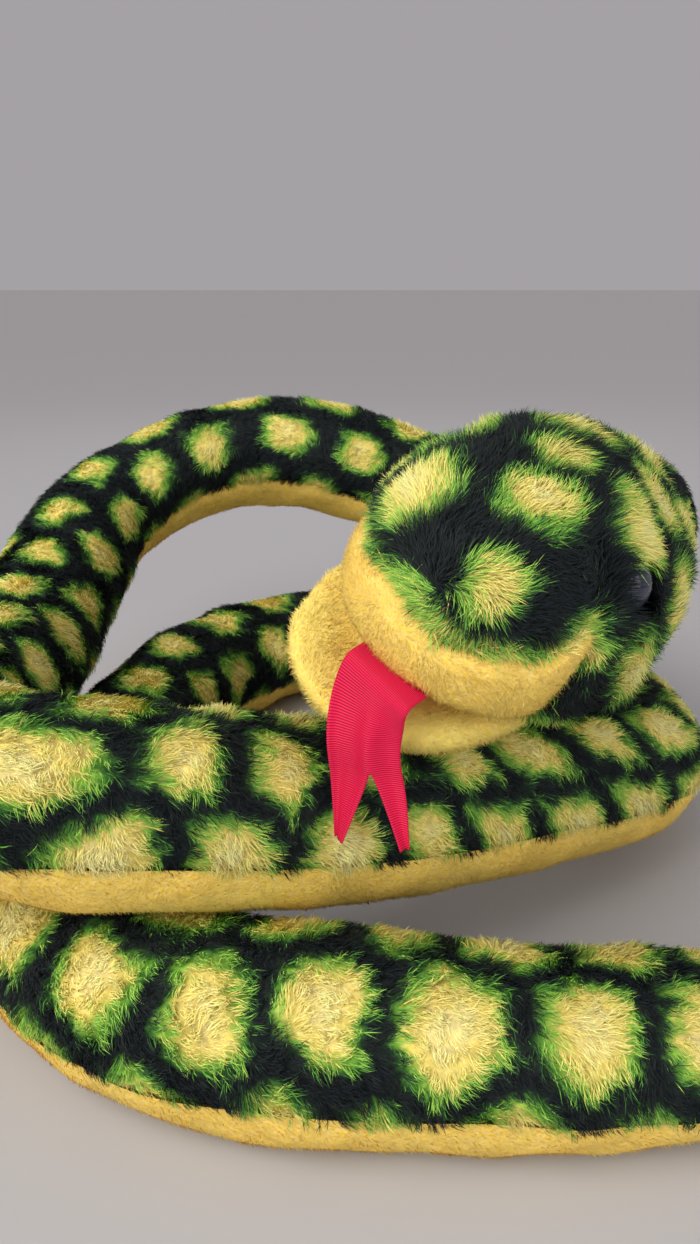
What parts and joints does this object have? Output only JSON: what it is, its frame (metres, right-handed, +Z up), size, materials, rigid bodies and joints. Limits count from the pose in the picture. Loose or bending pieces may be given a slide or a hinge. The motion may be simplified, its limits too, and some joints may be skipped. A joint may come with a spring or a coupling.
{
  "type": "coiled plush toy snake",
  "caption": "Long stuffed plush snake, coiled with its head resting on its body: fluffy patterned back, plain yellow belly, soft jaw, plastic eyes and a forked ribbon tongue.",
  "frame": {"origin": "centre of the toy's footprint, at the level of the table it lies on", "axes": "+X to the viewer's right and towards the tail, +Y away from the viewer, +Z up"},
  "size_m": [0.443, 0.393, 0.1903],
  "materials": {
    "patterned_plush": "long pile plush, black with green edged yellow spots",
    "yellow_plush": "short pile plush, golden yellow",
    "mouth_felt": "short pile lining, golden yellow",
    "fibre_filling": "white polyester fibre",
    "eye_plastic": "polished black",
    "washer_plastic": "plain moulded",
    "tongue_satin": "ribbed satin ribbon, crimson",
    "thread": "black sewing thread"
  },
  "bodies": {
    "coil": {"arch_left_back": "patterned_plush", "arch_left_belly": "yellow_plush", "arch_right_back": "patterned_plush", "arch_right_belly": "yellow_plush", "arch_top_back": "patterned_plush", "arch_top_belly": "yellow_plush", "body_filling": "fibre_filling", "bottom_bend_back": "patterned_plush", "bottom_bend_belly": "yellow_plush", "bottom_front_back": "patterned_plush", "bottom_front_belly": "yellow_plush", "closing_stitches": "thread", "front_bend_back": "patterned_plush", "front_bend_belly": "yellow_plush", "front_left_back": "patterned_plush", "front_left_belly": "yellow_plush", "front_upper_back": "patterned_plush", "front_upper_belly": "yellow_plush", "inner_back_back": "patterned_plush", "inner_back_belly": "yellow_plush", "inner_left_back": "patterned_plush", "inner_left_belly": "yellow_plush", "left_side_back": "patterned_plush", "left_side_belly": "yellow_plush", "right_bend_back": "patterned_plush", "right_bend_belly": "yellow_plush", "tail_root_back": "patterned_plush", "tail_root_belly": "yellow_plush"},
    "neck": {"neck_back": "patterned_plush", "neck_belly": "yellow_plush", "neck_filling": "fibre_filling"},
    "head": {"eye_left": "eye_plastic", "eye_right": "eye_plastic", "eye_washer_left": "washer_plastic", "eye_washer_right": "washer_plastic", "head_cap": "patterned_plush", "head_filling": "fibre_filling", "mouth_roof": "mouth_felt", "throat": "yellow_plush", "tongue_root": "tongue_satin", "upper_lip": "yellow_plush"},
    "jaw": {"jaw_filling": "fibre_filling", "lower_jaw": "yellow_plush", "mouth_floor": "mouth_felt"},
    "tongue": {"tongue_ribbon": "tongue_satin"},
    "tail": {"tail_back": "patterned_plush", "tail_belly": "yellow_plush", "tail_filling": "fibre_filling"}
  },
  "joints": [
    {"name": "neck_turn", "type": "hinge", "parent": "coil", "child": "neck", "pos_m": [0.072, 0.028, 0.134], "axis": [0, 0, 1], "range_deg": [0, 28]},
    {"name": "head_nod", "type": "hinge", "parent": "neck", "child": "head", "pos_m": [0.054, -0.03, 0.144], "axis": [-0.6924, 0.5203, 0.4999], "range_deg": [0, 25]},
    {"name": "jaw_open", "type": "hinge", "parent": "head", "child": "jaw", "pos_m": [0.01161, -0.07538, 0.13253], "axis": [0.5762, -0.6501, -0.4954], "range_deg": [-4, 3]},
    {"name": "tongue_swing", "type": "hinge", "parent": "head", "child": "tongue", "pos_m": [-0.03805, -0.14437, 0.12954], "axis": [-0.9511, 0.309, 0], "range_deg": [0, 60]},
    {"name": "tail_swing", "type": "hinge", "parent": "coil", "child": "tail", "pos_m": [0.0825, -0.159, 0.0205], "axis": [0, 0, 1], "range_deg": [-10, 35]}
  ]
}
